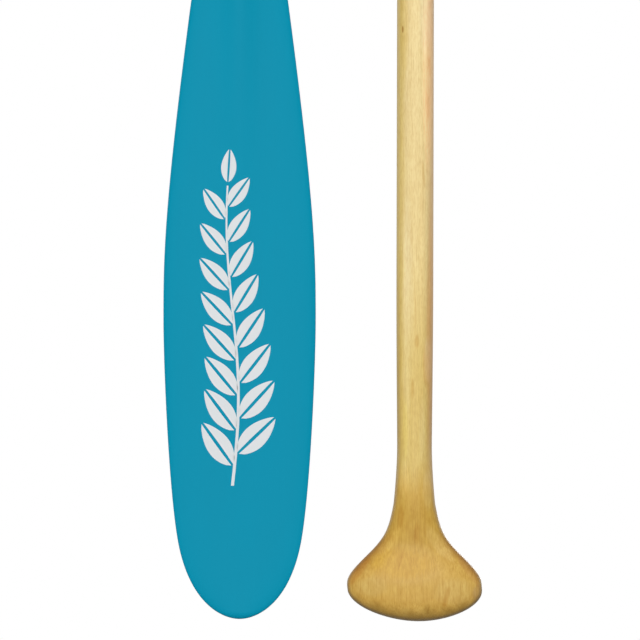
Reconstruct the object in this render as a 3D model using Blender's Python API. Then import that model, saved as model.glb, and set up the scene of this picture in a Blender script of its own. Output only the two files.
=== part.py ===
# Laminated wooden canoe paddle: long rounded blade, oval shaft and wide fan-shaped grip.
#
# The paddle hangs upright, blade down, its broad faces towards -Y and +Y. +Z runs up the shaft.
# The origin lies on the shaft's axis, where the shoulders of the grip rest on a rack.
# A real paddle is glued up from staves, boards and blocks, and the glued stock is then shaped.
# The model is made in the same order: one faired form, and flat planks that are cut to it.

import math
from collections import namedtuple

import bmesh
import bpy
from mathutils import Vector
from mathutils.geometry import interpolate_bezier

# Overall sizes, in metres
PADDLE_LENGTH = 1.473        # blade tip to grip crown
RACK_TO_CROWN = 0.092        # the shoulders rest on a rack this far under the crown

# Outline of the blade, with heights counted up from its tip
BLADE_WIDTH = 0.128          # at its widest
BLADE_WIDEST_UP = 0.2525     # height of the widest place
TIP_ROUNDING = 0.0147        # reach of the tip's curve to each side
TIP_SHOULDER_UP = 0.0645     # where the round tip runs into the long side
TIP_SHOULDER_WIDTH = 0.1033
BLADE_TAPER_UP = 0.520       # a place on the long upper taper
BLADE_TAPER_WIDTH = 0.0812
BLADE_LENGTH = 0.715         # tip to throat, where the blade has become shaft

# Outline of the shaft and the grip, with depths counted down from the crown
SHAFT_WIDTH = 0.0310
SHAFT_TAPER_DOWN = 0.290     # above here the shaft draws in towards the neck
NECK_WIDTH = 0.0292          # the narrowest place
NECK_DOWN = 0.147
COLLAR_WIDTH = 0.0352        # where the neck starts to flare
COLLAR_DOWN = 0.0983
FLANK_WIDTH = 0.0792         # half way out along the sloping flank
FLANK_DOWN = 0.0556
GRIP_WIDTH = 0.1131          # at its widest
GRIP_WIDEST_DOWN = 0.0270
CROWN_ROUNDING = 0.0255      # reach of the crown's curve to each side
CROWN_LEAN = 0.0037          # the hand-shaped crown peaks this far to the left
CROWN_LEAN_DOWN = 0.034      # the lean sets in here

# Directions of the outline: growth of the half width for each metre of height
TIP_SHOULDER_SLOPE = 0.187
BLADE_TAPER_SLOPE = -0.133
COLLAR_SLOPE = 0.187
FLANK_SLOPE = 1.027

# Thickness from face to face
TIP_EDGE_ROLL = 0.006        # the tip's edge is rounded over this height
TIP_THICKNESS = 0.0066
BLADE_THICKNESS = 0.0092     # at the widest place
SPINE_THICKNESS = 0.0150     # along the raised spine, at the upper taper
SPINE_WIDTH = 0.026
FACE_THICKNESS = 0.0095      # beside the spine, just under the throat
FACE_END_UP = 0.600          # the flat faces end here and swell into the throat
SHAFT_THICKNESS = 0.0310
SCOOP_THICKNESS = 0.0255     # both faces are scooped where the fingers close
SCOOP_DOWN = 0.068
PALM_THICKNESS = 0.0330
PALM_DOWN = 0.027
CROWN_ROLL = 0.019           # the crown rolls from face to face over this height

# How full a cross-section is: 2 is an ellipse, more is boxier
BLADE_FULLNESS = 2.7
SHAFT_FULLNESS = 2.0
GRIP_FULLNESS = 2.7

# The glued stock
CORE_STAVE_WIDTH = 0.0200
PLANING_ALLOWANCE = 0.001    # stock is this much wider than the finished shape
GLUE_LINE = 0.0003
PLANK_PLACES = ("inner", "outer")  # boards or blocks on each side, from the shaft outwards

# Fineness of the faired form
RING_POINTS = 32

# Finishes: colour, roughness and metallic value
PALE_WOOD = ("varnished_pale_wood", (0.80, 0.62, 0.29), 0.36, 0.0)
AMBER_WOOD = ("varnished_amber_wood", (0.68, 0.45, 0.14), 0.34, 0.0)
TEAL_PAINT = ("teal_blade_paint", (0.008, 0.27, 0.42), 0.45, 0.0)

CROWN_Z = RACK_TO_CROWN
TIP_Z = CROWN_Z - PADDLE_LENGTH
THROAT_Z = TIP_Z + BLADE_LENGTH
NECK_Z = CROWN_Z - NECK_DOWN
GRIP_WIDEST_Z = CROWN_Z - GRIP_WIDEST_DOWN


def clear_scene():
    for thing in list(bpy.data.objects):
        bpy.data.objects.remove(thing, do_unlink=True)


def make_material(name, colour, roughness, metallic):
    material = bpy.data.materials.new(name)
    material.use_nodes = True
    shader = material.node_tree.nodes["Principled BSDF"]
    shader.inputs["Base Color"].default_value = (*colour, 1.0)
    shader.inputs["Roughness"].default_value = roughness
    shader.inputs["Metallic"].default_value = metallic
    return material


# Outline of the front view

# One knot of the edge curve. A pull is the height of the curve's handle there, as a share of
# the height to the next knot on that side. steps is how many points lead up to the knot.
Knot = namedtuple("Knot", "z width slope pull_below pull_above steps")

EDGE_KNOTS = [
    Knot(TIP_Z + TIP_SHOULDER_UP, TIP_SHOULDER_WIDTH, TIP_SHOULDER_SLOPE, 0.80, 0.22, 10),
    Knot(TIP_Z + BLADE_WIDEST_UP, BLADE_WIDTH, 0.0, 0.21, 0.19, 6),
    Knot(TIP_Z + BLADE_TAPER_UP, BLADE_TAPER_WIDTH, BLADE_TAPER_SLOPE, 0.65, 0.32, 7),
    Knot(THROAT_Z, SHAFT_WIDTH, 0.0, 0.46, 0.0, 9),
    Knot(CROWN_Z - SHAFT_TAPER_DOWN, SHAFT_WIDTH, 0.0, 0.0, 0.48, 1),
    Knot(NECK_Z, NECK_WIDTH, 0.0, 0.10, 0.39, 4),
    Knot(CROWN_Z - COLLAR_DOWN, COLLAR_WIDTH, COLLAR_SLOPE, 0.05, 0.50, 4),
    Knot(CROWN_Z - FLANK_DOWN, FLANK_WIDTH, FLANK_SLOPE, 0.345, 0.62, 6),
    Knot(GRIP_WIDEST_Z, GRIP_WIDTH, 0.0, 0.29, 0.553, 6),
]
CROWN_STEPS = 9


def knot_point(knot, rise=0.0):
    """The knot, or the end of its handle that reaches this far up or down."""
    return Vector((knot.width / 2 + knot.slope * rise, knot.z + rise))


def edge_stations():
    """Points along the edge as (half width, height), tip first and crown last."""
    first, last = EDGE_KNOTS[0], EDGE_KNOTS[-1]
    tip, crown = Vector((0.0, TIP_Z)), Vector((0.0, CROWN_Z))
    first_rise = first.pull_below * (first.z - TIP_Z)
    last_rise = last.pull_above * (CROWN_Z - last.z)
    spans = [(tip, tip + Vector((TIP_ROUNDING, 0.0)),
              knot_point(first, -first_rise), knot_point(first), first.steps)]
    for low, high in zip(EDGE_KNOTS, EDGE_KNOTS[1:]):
        gap = high.z - low.z
        spans.append((knot_point(low), knot_point(low, low.pull_above * gap),
                      knot_point(high, -high.pull_below * gap), knot_point(high), high.steps))
    spans.append((knot_point(last), knot_point(last, last_rise),
                  crown + Vector((CROWN_ROUNDING, 0.0)), crown, CROWN_STEPS))
    stations = [tip]
    for start, start_handle, end_handle, end, steps in spans:
        curve = interpolate_bezier(start, start_handle, end_handle, end, steps + 1)
        stations += [point.xy for point in curve[1:]]
    return stations


# Cross-sections

SPINE_KNOTS = [
    (TIP_Z, TIP_THICKNESS),
    (TIP_Z + BLADE_WIDEST_UP, BLADE_THICKNESS),
    (TIP_Z + BLADE_TAPER_UP, SPINE_THICKNESS),
    (THROAT_Z, SHAFT_THICKNESS),
    (NECK_Z, SHAFT_THICKNESS),
    (CROWN_Z - SCOOP_DOWN, SCOOP_THICKNESS),
    (CROWN_Z - PALM_DOWN, PALM_THICKNESS),
]
FACE_KNOTS = [
    (TIP_Z, TIP_THICKNESS),
    (TIP_Z + BLADE_WIDEST_UP, BLADE_THICKNESS),
    (TIP_Z + FACE_END_UP, FACE_THICKNESS),
] + SPINE_KNOTS[3:]
FULLNESS_KNOTS = [
    (TIP_Z + BLADE_TAPER_UP, BLADE_FULLNESS),
    (THROAT_Z, SHAFT_FULLNESS),
    (NECK_Z, SHAFT_FULLNESS),
    (CROWN_Z - FLANK_DOWN, GRIP_FULLNESS),
]


def knot_slopes(knots):
    """Slopes for a curve that never overshoots its knots, level at its ends and turns."""
    rises = [(high - low) / (z_high - z_low)
             for (z_low, low), (z_high, high) in zip(knots, knots[1:])]
    inner = [2 * before * after / (before + after) if before * after > 0 else 0.0
             for before, after in zip(rises, rises[1:])]
    return [0.0, *inner, 0.0]


def smooth_through(knots, z):
    """Value at height z of a smooth curve through (height, value) knots."""
    if z <= knots[0][0]:
        return knots[0][1]
    slopes = knot_slopes(knots)
    for place, ((z_low, low), (z_high, high)) in enumerate(zip(knots, knots[1:])):
        if z > z_high:
            continue
        gap = z_high - z_low
        share = (z - z_low) / gap
        rest = 1 - share
        return (low * (1 + 2 * share) * rest ** 2 + high * (3 - 2 * share) * share ** 2
                + gap * share * rest * (slopes[place] * rest - slopes[place + 1] * share))
    return knots[-1][1]


def end_roll(distance, roll):
    """Share of the thickness left at a distance from an end that is rounded over roll."""
    if distance >= roll:
        return 1.0
    return math.sqrt(max(0.0, 1 - (1 - distance / roll) ** 2))


def crown_shift(z):
    """Sideways lean of the crown at height z, which sets in softly."""
    return -CROWN_LEAN * max(0.0, 1 - (CROWN_Z - z) / CROWN_LEAN_DOWN) ** 1.3


def section_ring(half_width, z):
    """Points round the cross-section at height z."""
    spine = smooth_through(SPINE_KNOTS, z) / 2
    face = smooth_through(FACE_KNOTS, z) / 2
    fullness = smooth_through(FULLNESS_KNOTS, z)
    rolled = end_roll(z - TIP_Z, TIP_EDGE_ROLL) * end_roll(CROWN_Z - z, CROWN_ROLL)
    ring = []
    for step in range(RING_POINTS):
        angle = math.tau * step / RING_POINTS
        x = half_width * math.cos(angle)
        ridge = math.exp(-(x / (SPINE_WIDTH / 2)) ** 2)
        half_thickness = (face + (spine - face) * ridge) * rolled
        height = half_thickness * abs(math.sin(angle)) ** (2 / fullness)
        ring.append(Vector((x + crown_shift(z), math.copysign(height, math.sin(angle)), z)))
    return ring


def faired_form():
    """The whole paddle as one closed guide, which the planks are cut to."""
    mesh = bmesh.new()
    stations = edge_stations()
    tip = mesh.verts.new((0.0, 0.0, TIP_Z))
    crown = mesh.verts.new((crown_shift(CROWN_Z), 0.0, CROWN_Z))
    rings = [
        [mesh.verts.new(point) for point in section_ring(half_width, z)]
        for half_width, z in stations[1:-1]
    ]
    for step in range(RING_POINTS):
        following = (step + 1) % RING_POINTS
        mesh.faces.new((tip, rings[0][following], rings[0][step]))
        mesh.faces.new((crown, rings[-1][step], rings[-1][following]))
        for lower, upper in zip(rings, rings[1:]):
            mesh.faces.new((lower[step], lower[following], upper[following], upper[step]))
    bmesh.ops.recalc_face_normals(mesh, faces=mesh.faces)
    return finish_object("faired_form_guide", mesh)


def finish_object(name, mesh):
    data = bpy.data.meshes.new(name)
    mesh.to_mesh(data)
    mesh.free()
    thing = bpy.data.objects.new(name, data)
    bpy.context.collection.objects.link(thing)
    return thing


# Planks

def plank(name, x_low, x_high, z_low, z_high, form, material):
    """A flat plank between two glue lines, shaped to the faired form."""
    depth = 2 * max(SHAFT_THICKNESS, PALM_THICKNESS, SPINE_THICKNESS)
    size = Vector((x_high - x_low, depth, z_high - z_low))
    centre = Vector(((x_low + x_high) / 2, 0.0, (z_low + z_high) / 2))
    mesh = bmesh.new()
    bmesh.ops.create_cube(mesh, size=1.0)
    bmesh.ops.scale(mesh, vec=size, verts=mesh.verts)
    bmesh.ops.translate(mesh, vec=centre, verts=mesh.verts)
    thing = finish_object(name, mesh)
    thing.data.materials.append(material)
    shaping = thing.modifiers.new("shaped_to_form", "BOOLEAN")
    shaping.operation = "INTERSECT"
    shaping.solver = "EXACT"
    shaping.object = form
    return thing


def side_planks(role, stock_half, edge_half, z_low, z_high, form, material):
    """Mirrored pairs of equal planks that fill from the shaft stock out to the edge."""
    width = (edge_half - stock_half) / len(PLANK_PLACES)
    for number, place in enumerate(PLANK_PLACES):
        near = stock_half + number * width + GLUE_LINE / 2
        far = stock_half + (number + 1) * width - GLUE_LINE / 2
        plank(f"{role}_{place}_right", near, far, z_low, z_high, form, material)
        plank(f"{role}_{place}_left", -far, -near, z_low, z_high, form, material)


def build_paddle():
    clear_scene()
    pale_wood = make_material(*PALE_WOOD)
    amber_wood = make_material(*AMBER_WOOD)
    teal_paint = make_material(*TEAL_PAINT)

    form = faired_form()
    form.hide_render = True
    form.display_type = "WIRE"

    # Raw planks reach a shaft's thickness past both ends of the paddle
    bottom = TIP_Z - SHAFT_THICKNESS
    top = CROWN_Z + SHAFT_THICKNESS
    stock_half = max(SHAFT_WIDTH, NECK_WIDTH) / 2 + PLANING_ALLOWANCE
    core_half = CORE_STAVE_WIDTH / 2
    near = core_half + GLUE_LINE / 2
    far = stock_half - GLUE_LINE / 2
    plank("shaft_core_stave", -core_half + GLUE_LINE / 2, core_half - GLUE_LINE / 2,
          bottom, top, form, pale_wood)
    plank("shaft_right_stave", near, far, bottom, top, form, pale_wood)
    plank("shaft_left_stave", -far, -near, bottom, top, form, pale_wood)

    side_planks("blade_board", stock_half, BLADE_WIDTH / 2 + PLANING_ALLOWANCE,
                bottom, THROAT_Z, form, teal_paint)
    side_planks("grip_block", stock_half, GRIP_WIDTH / 2 + PLANING_ALLOWANCE,
                NECK_Z, top, form, amber_wood)


build_paddle()
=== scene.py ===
# %% [markdown]
# # Dressing a laminated canoe paddle
#
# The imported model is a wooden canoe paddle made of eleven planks. They are glued side by side and
# shaped to one faired form. This lesson gives the planks their smooth final surface, a clear
# varnish on the shaft and grip, teal paint on the blade and a stencilled sprig on its front.
#
# The frame that is loaded here stays as it is. All lengths are in metres, +Z runs up the shaft
# and the front of the blade faces -Y. The paddle's overall size is read from the frame.

import math
from collections import namedtuple

import bmesh
import bpy
from mathutils import Matrix, Vector
from mathutils.geometry import interpolate_bezier


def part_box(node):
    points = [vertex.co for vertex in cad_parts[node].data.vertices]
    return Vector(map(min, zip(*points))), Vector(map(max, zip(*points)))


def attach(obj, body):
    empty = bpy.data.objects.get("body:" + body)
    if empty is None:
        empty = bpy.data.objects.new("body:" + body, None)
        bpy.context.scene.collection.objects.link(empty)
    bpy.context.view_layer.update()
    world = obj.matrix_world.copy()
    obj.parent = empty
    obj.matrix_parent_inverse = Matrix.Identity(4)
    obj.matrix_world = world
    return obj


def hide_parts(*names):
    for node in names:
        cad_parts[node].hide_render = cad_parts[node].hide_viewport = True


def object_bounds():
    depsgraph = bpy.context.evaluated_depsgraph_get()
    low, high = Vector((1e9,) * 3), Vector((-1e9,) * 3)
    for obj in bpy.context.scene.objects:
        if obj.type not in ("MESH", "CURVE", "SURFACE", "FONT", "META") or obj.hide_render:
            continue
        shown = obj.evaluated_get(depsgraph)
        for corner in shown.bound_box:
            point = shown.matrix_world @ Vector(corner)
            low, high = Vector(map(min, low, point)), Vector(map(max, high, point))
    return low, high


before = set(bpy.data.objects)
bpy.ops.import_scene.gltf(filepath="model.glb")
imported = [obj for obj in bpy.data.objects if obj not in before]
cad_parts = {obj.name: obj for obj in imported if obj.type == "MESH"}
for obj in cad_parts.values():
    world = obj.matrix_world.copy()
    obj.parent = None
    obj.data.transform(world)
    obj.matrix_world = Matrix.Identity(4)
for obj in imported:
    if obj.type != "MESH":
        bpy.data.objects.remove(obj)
CAD_LOW, CAD_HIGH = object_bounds()
TIP_Z = CAD_LOW.z
CROWN_Z = CAD_HIGH.z
print(f"paddle {CROWN_Z - TIP_Z:.3f} m long, blade {CAD_HIGH.x - CAD_LOW.x:.3f} m wide")

# %% [markdown]
# ## The edge of the paddle
#
# Seen from the front, a paddle is one flowing line: a round tip, a long blade, a slim shaft, and
# a grip that flares like a fan. It could be traced as hundreds of points, but a maker draws it
# from a few stations with a fairing batten between them. Bezier curves do the same here. Each
# knot has a height, a width and a slope, and its two pulls say how far the curve follows that
# slope before it turns to the next knot.

# %% Knots of the edge
BLADE_WIDTH = 2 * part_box("blade_board_outer_right")[1].x
SHAFT_WIDTH = 0.0310
GRIP_WIDTH = 0.1131
THROAT_Z = TIP_Z + 0.715
NECK_Z = CROWN_Z - 0.147
GRIP_WIDEST_Z = CROWN_Z - 0.0270
TIP_ROUNDING = 0.0147
CROWN_ROUNDING = 0.0255

Knot = namedtuple("Knot", "z width slope pull_below pull_above")
EDGE_KNOTS = [
    Knot(TIP_Z + 0.0645, 0.1033, 0.187, 0.80, 0.22),
    Knot(TIP_Z + 0.2525, BLADE_WIDTH, 0.0, 0.21, 0.19),
    Knot(TIP_Z + 0.520, 0.0812, -0.133, 0.65, 0.32),
    Knot(THROAT_Z, SHAFT_WIDTH, 0.0, 0.46, 0.0),
    Knot(CROWN_Z - 0.290, SHAFT_WIDTH, 0.0, 0.0, 0.48),
    Knot(NECK_Z, 0.0292, 0.0, 0.10, 0.39),
    Knot(CROWN_Z - 0.0983, 0.0352, 0.187, 0.05, 0.50),
    Knot(CROWN_Z - 0.0556, 0.0792, 1.027, 0.345, 0.62),
    Knot(GRIP_WIDEST_Z, GRIP_WIDTH, 0.0, 0.29, 0.553),
]


def knot_point(knot, rise=0.0):
    """The knot as (half width, height), or the end of its handle that reaches this far."""
    return Vector((knot.width / 2 + knot.slope * rise, knot.z + rise))


def edge_spans():
    """The four Bezier points of each span, from the tip up to the crown."""
    first, last = EDGE_KNOTS[0], EDGE_KNOTS[-1]
    tip, crown = Vector((0.0, TIP_Z)), Vector((0.0, CROWN_Z))
    yield (tip, tip + Vector((TIP_ROUNDING, 0.0)),
           knot_point(first, -first.pull_below * (first.z - TIP_Z)), knot_point(first))
    for low, high in zip(EDGE_KNOTS, EDGE_KNOTS[1:]):
        gap = high.z - low.z
        yield (knot_point(low), knot_point(low, low.pull_above * gap),
               knot_point(high, -high.pull_below * gap), knot_point(high))
    yield (knot_point(last), knot_point(last, last.pull_above * (CROWN_Z - last.z)),
           crown + Vector((CROWN_ROUNDING, 0.0)), crown)


print(f"{len(EDGE_KNOTS)} knots carry {len(list(edge_spans()))} spans of the edge")

# %% [markdown]
# ## The thickness
#
# A blade is thin at the tip and has a low spine down its middle. The shaft is oval. The grip is
# scooped on both faces where the fingers close, and swells again under the palm. Each of these is
# a value at a few heights. Straight lines between them would leave ridges across the wood, and a
# plain smoothing spline would wander past them, so the curve here takes its slopes from the
# harmonic mean of its neighbours. It passes through every value and never overshoots.

# %% Thickness at every height
SPINE_WIDTH = 0.026
TIP_EDGE_ROLL = 0.006
CROWN_ROLL = 0.019
CROWN_LEAN = 0.0037
CROWN_LEAN_DOWN = 0.034

GRIP_THICKNESS = [
    (THROAT_Z, 0.0310),
    (NECK_Z, 0.0310),
    (CROWN_Z - 0.068, 0.0255),
    (CROWN_Z - 0.027, 0.0330),
]
BLADE_THICKNESS = [(TIP_Z, 0.0066), (TIP_Z + 0.2525, 0.0092)]
SPINE_THICKNESS = [*BLADE_THICKNESS, (TIP_Z + 0.520, 0.0150), *GRIP_THICKNESS]
FACE_THICKNESS = [*BLADE_THICKNESS, (TIP_Z + 0.600, 0.0095), *GRIP_THICKNESS]
FULLNESS = [(TIP_Z + 0.520, 2.7), (THROAT_Z, 2.0), (NECK_Z, 2.0), (CROWN_Z - 0.0556, 2.7)]


def fair_value(knots, z):
    """Value at height z of a smooth curve through (height, value) knots."""
    if z <= knots[0][0]:
        return knots[0][1]
    rises = [(high - low) / (z_high - z_low)
             for (z_low, low), (z_high, high) in zip(knots, knots[1:])]
    inner = [2 * before * after / (before + after) if before * after > 0 else 0.0
             for before, after in zip(rises, rises[1:])]
    slopes = [0.0, *inner, 0.0]
    for place, ((z_low, low), (z_high, high)) in enumerate(zip(knots, knots[1:])):
        if z > z_high:
            continue
        gap = z_high - z_low
        share = (z - z_low) / gap
        rest = 1 - share
        return (low * (1 + 2 * share) * rest ** 2 + high * (3 - 2 * share) * share ** 2
                + gap * share * rest * (slopes[place] * rest - slopes[place + 1] * share))
    return knots[-1][1]


def end_roll(distance, roll):
    """Share of the thickness left near an end that is rounded over the length of roll."""
    if distance >= roll:
        return 1.0
    return math.sqrt(max(0.0, 1 - (1 - distance / roll) ** 2))


def crown_shift(z):
    """Sideways lean of the hand-shaped crown, which sets in softly."""
    return -CROWN_LEAN * max(0.0, 1 - (CROWN_Z - z) / CROWN_LEAN_DOWN) ** 1.3


print(f"shaft {1000 * fair_value(SPINE_THICKNESS, NECK_Z):.1f} mm thick at the neck")

# %% [markdown]
# ## Glue lines
#
# The planks meet at flat glue lines that run the whole length of the paddle. Their places are in
# the frame: each lies half way between the boxes of two neighbouring planks.

# %% Find the glue lines in the frame


def glue_line(inner, outer):
    """Distance from the paddle's axis to the joint between two neighbouring planks."""
    return (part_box(inner)[1].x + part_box(outer)[0].x) / 2


CORE_HALF = glue_line("shaft_core_stave", "shaft_right_stave")
STOCK_HALF = glue_line("shaft_right_stave", "blade_board_inner_right")
BOARD_SEAM = glue_line("blade_board_inner_right", "blade_board_outer_right")
BLOCK_SEAM = glue_line("grip_block_inner_right", "grip_block_outer_right")
GLUE_LINES = (CORE_HALF, STOCK_HALF, BOARD_SEAM, BLOCK_SEAM)
print("glue lines, mm:", [round(1000 * x, 2) for x in GLUE_LINES])

# %% [markdown]
# ## Stations
#
# A station is one height at which the cross-section is worked out. They lie every 3 mm, and every
# millimetre round the tip and the crown, where the edge turns quickly. A station is added
# wherever the edge crosses a glue line, so each plank can end in a clean point just there, and
# neighbouring planks share every station and meet without a gap. Beside a crossing the plank's
# new side grows fast, so a few stations follow closely there. A plain station that lies too near
# to an added one would only give slivers, so it is left out.

# %% Work out the stations
STATION_STEP = 0.003
END_STEP = 0.001
CLOSE_STEPS = (0.0002, 0.0007, 0.0015)
CLEAR_STEP = 0.00015

Station = namedtuple("Station", "z half_width")


def faired_stations():
    stations = [Station(TIP_Z, 0.0)]
    spans = list(edge_spans())
    for place, span in enumerate(spans):
        step = END_STEP if place in (0, len(spans) - 1) else STATION_STEP
        count = math.ceil((span[3].y - span[0].y) / step)
        curve = interpolate_bezier(*span, count + 1)
        stations += [Station(point.y, point.x) for point in curve[1:]]
    return stations


def reach(station, side):
    """How far the edge is from the paddle's axis on one side, +1 right or -1 left."""
    return station.half_width + side * crown_shift(station.z)


def part_way(low, high, share):
    """The station at this share of the straight line from low to high."""
    return Station(*(start + share * (end - start) for start, end in zip(low, high)))


def crossings(stations, line, side):
    """Stations where the edge on this side passes the glue line."""
    for low, high in zip(stations, stations[1:]):
        before, after = reach(low, side) - line, reach(high, side) - line
        if before * after < 0:
            yield part_way(low, high, before / (before - after))


def at_height(stations, z):
    """The station at height z, on the straight line between its neighbours."""
    above = next(place for place, s in enumerate(stations) if s.z >= z)
    low, high = stations[above - 1], stations[above]
    return part_way(low, high, (z - low.z) / (high.z - low.z))


def is_clear(station, others):
    return all(abs(station.z - other.z) > CLEAR_STEP for other in others)


plain_stations = faired_stations()
crossing_stations = {found for line in GLUE_LINES for side in (-1, 1)
                     for found in crossings(plain_stations, line, side)}
close_stations = {at_height(plain_stations, s.z + way * step) for s in crossing_stations
                  for way in (-1, 1) for step in CLOSE_STEPS
                  if TIP_Z < s.z + way * step < CROWN_Z}
close_stations = {s for s in close_stations if is_clear(s, crossing_stations)}
added = crossing_stations | close_stations
ends = {plain_stations[0], plain_stations[-1]}
STATIONS = sorted(ends | added | {s for s in plain_stations if is_clear(s, added)})
print(f"{len(STATIONS)} stations, {len(crossing_stations)} of them at glue lines")

# %% [markdown]
# ## A bench for node trees
#
# Node trees are easier to read as formulas than as boxes and noodles. `Wire` stands for one
# output socket. Arithmetic on it adds Math nodes, so `1 - mask` or `height / 0.003` works as it
# looks. `Bench` holds a tree, and its `node` method adds any other node. The same two classes
# serve for shaders and for Geometry Nodes.

# %% Wires and benches


class Wire:
    """One output socket of a node tree."""

    def __init__(self, bench, socket):
        self.bench = bench
        self.socket = socket

    def math(self, operation, *others):
        return self.bench.math(operation, self, *others)

    def __add__(self, other):
        return self.math("ADD", other)

    def __sub__(self, other):
        return self.math("SUBTRACT", other)

    def __mul__(self, other):
        return self.math("MULTIPLY", other)

    def __truediv__(self, other):
        return self.math("DIVIDE", other)

    def __pow__(self, other):
        return self.math("POWER", other)

    def __neg__(self):
        return self.math("MULTIPLY", -1.0)

    def __radd__(self, other):
        return self.bench.math("ADD", other, self)

    def __rsub__(self, other):
        return self.bench.math("SUBTRACT", other, self)

    def __rtruediv__(self, other):
        return self.bench.math("DIVIDE", other, self)

    def limited(self, low, high):
        return self.math("MAXIMUM", low).math("MINIMUM", high)

    def step(self, start, end):
        """0 before start and 1 after end, with a smooth rise between them."""
        return self.bench.node("ShaderNodeMapRange", {"interpolation_type": "SMOOTHSTEP"},
                               {"Value": self, "From Min": start, "From Max": end})


class Bench:
    """A node tree that is being built."""

    def __init__(self, tree):
        self.tree = tree

    def node(self, kind, settings=None, sockets=(), give=0):
        """Adds a node, sets it, fills its sockets by name or place, and returns one output."""
        made = self.tree.nodes.new(kind)
        for name, value in (settings or {}).items():
            if name == "stops":
                self.set_stops(made.color_ramp, value)
            else:
                setattr(made, name, value)
        usable = [socket for socket in made.inputs if socket.enabled]
        pairs = sockets.items() if isinstance(sockets, dict) else enumerate(sockets)
        for key, value in pairs:
            self.fill(self.pick(usable, key), value)
        shown = [socket for socket in made.outputs if socket.enabled]
        return Wire(self, self.pick(shown, give)) if shown else None

    def set_stops(self, ramp, stops):
        while len(ramp.elements) < len(stops):
            ramp.elements.new(1.0)
        for element, (place, colour) in zip(ramp.elements, stops):
            element.position = place
            element.color = (*colour, 1.0)

    def pick(self, sockets, key):
        if isinstance(key, int):
            return sockets[key]
        return next(socket for socket in sockets if socket.name == key)

    def fill(self, socket, value):
        if isinstance(value, Wire):
            self.tree.links.new(value.socket, socket)
        elif socket.type == "RGBA":
            socket.default_value = (*value, 1.0)
        else:
            socket.default_value = value

    def math(self, operation, *values):
        return self.node("ShaderNodeMath", {"operation": operation}, values)

    def parts(self, vector):
        """The X, Y and Z wires of a vector."""
        split = self.node("ShaderNodeSeparateXYZ", None, [vector])
        return [Wire(self, socket) for socket in split.socket.node.outputs]

    def vector(self, x, y, z):
        return self.node("ShaderNodeCombineXYZ", None, [x, y, z])


# %% [markdown]
# ## Helpers for finishes
#
# Wood is the same all the way through: a plank that is planed shows what lies inside it. So its
# pattern is read at the point's place in the paddle, from Object coordinates, and not from
# a picture wrapped on the surface. `grain_noise` stretches a noise along the shaft, as fibres run.

# %% Shader helpers
BUMP_DEPTH = 0.00005


def new_finish(name):
    """An empty material and the bench of its tree."""
    material = bpy.data.materials.new(name)
    material.use_nodes = True
    material.node_tree.nodes.clear()
    return material, Bench(material.node_tree)


def close_finish(bench, shader):
    bench.node("ShaderNodeOutputMaterial", None, {"Surface": shader})


def mixed(bench, share, first, second, how="MIX"):
    """Blends two colours."""
    return bench.node("ShaderNodeMix", {"data_type": "RGBA", "blend_type": how},
                      {"Factor": share, "A": first, "B": second})


def tinted(bench, share, colour, tint):
    """Tints this share of the colour by multiplying, as a stain does."""
    return mixed(bench, share, colour, tint, "MULTIPLY")


def blended(bench, share, first, second):
    """Blends two shaders."""
    return bench.node("ShaderNodeMixShader", None, [share, first, second])


def relief(bench, strength, height):
    """The normal of a surface that is raised by this share of the bump's depth."""
    return bench.node("ShaderNodeBump", None,
                      {"Strength": strength, "Distance": BUMP_DEPTH, "Height": height})


def object_place(bench):
    """The X, Y and Z wires of the point's place in the paddle."""
    return bench.parts(bench.node("ShaderNodeTexCoord", give="Object"))


def grain_noise(bench, place, across, along, detail=2.0, offset=0.0):
    """Noise whose patches are about this long across and along the grain."""
    x, y, z = place
    stretched = bench.vector(x / across + offset, y / across, z / along)
    return bench.node("ShaderNodeTexNoise", None,
                      {"Vector": stretched, "Scale": 1.0, "Detail": detail, "Roughness": 0.55})


print("shader helpers ready")

# %% [markdown]
# ## Varnished wood
#
# The shaft and grip are a pale, close-grained wood under satin varnish. One noise texture could
# stand for it, but it would look like wallpaper. So the finish is built in layers, in the order
# in which the real colour comes about, and each has a cell below:
#
# 1. the tone along the paddle, with the growth rings;
# 2. the grain;
# 3. the marks of this one shaft, a few of them painted light and painted shade;
# 4. the cast of its two sides, and the rim, with its painted shade;
# 5. the varnish, as a thin coat over it all.
#
# The colour is straw on the shaft and deepens towards the grip, where hands and old varnish have
# turned it amber. The darker band across the neck is partly the wood's tone and partly painted
# shade where the scooped faces turn from the light. The brown at the crown is painted shade where
# the rolled crown turns from it. A list gives the tones by their distance under the crown, and a
# ramp blends them.

# %% Tones along the paddle
STRAW = (1.00, 0.815, 0.41)
CREAM = (0.97, 0.785, 0.37)
HONEY = (0.84, 0.64, 0.225)
LIGHT_AMBER = (0.74, 0.485, 0.116)
AMBER = (0.71, 0.455, 0.104)
# Partly the wood's tone, partly painted shade where the scooped neck turns from the light.
NECK_TOAST_AND_SHADE = (0.67, 0.43, 0.085)
# Painted shade: the rolled crown's edge, where it turns from the light.
CROWN_SHADE_BROWN = (0.50, 0.31, 0.062)

TONES_BELOW_CROWN = [
    (0.000, CROWN_SHADE_BROWN),
    (0.003, CROWN_SHADE_BROWN),
    (0.012, AMBER),
    (0.027, LIGHT_AMBER),
    (0.052, LIGHT_AMBER),
    (0.068, NECK_TOAST_AND_SHADE),
    (0.090, NECK_TOAST_AND_SHADE),
    (0.106, LIGHT_AMBER),
    (0.132, HONEY),
    (0.215, HONEY),
    (0.310, CREAM),
    (0.430, STRAW),
]
TONE_REACH = 0.5
print(f"{len(TONES_BELOW_CROWN)} tones along the wood")
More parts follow.
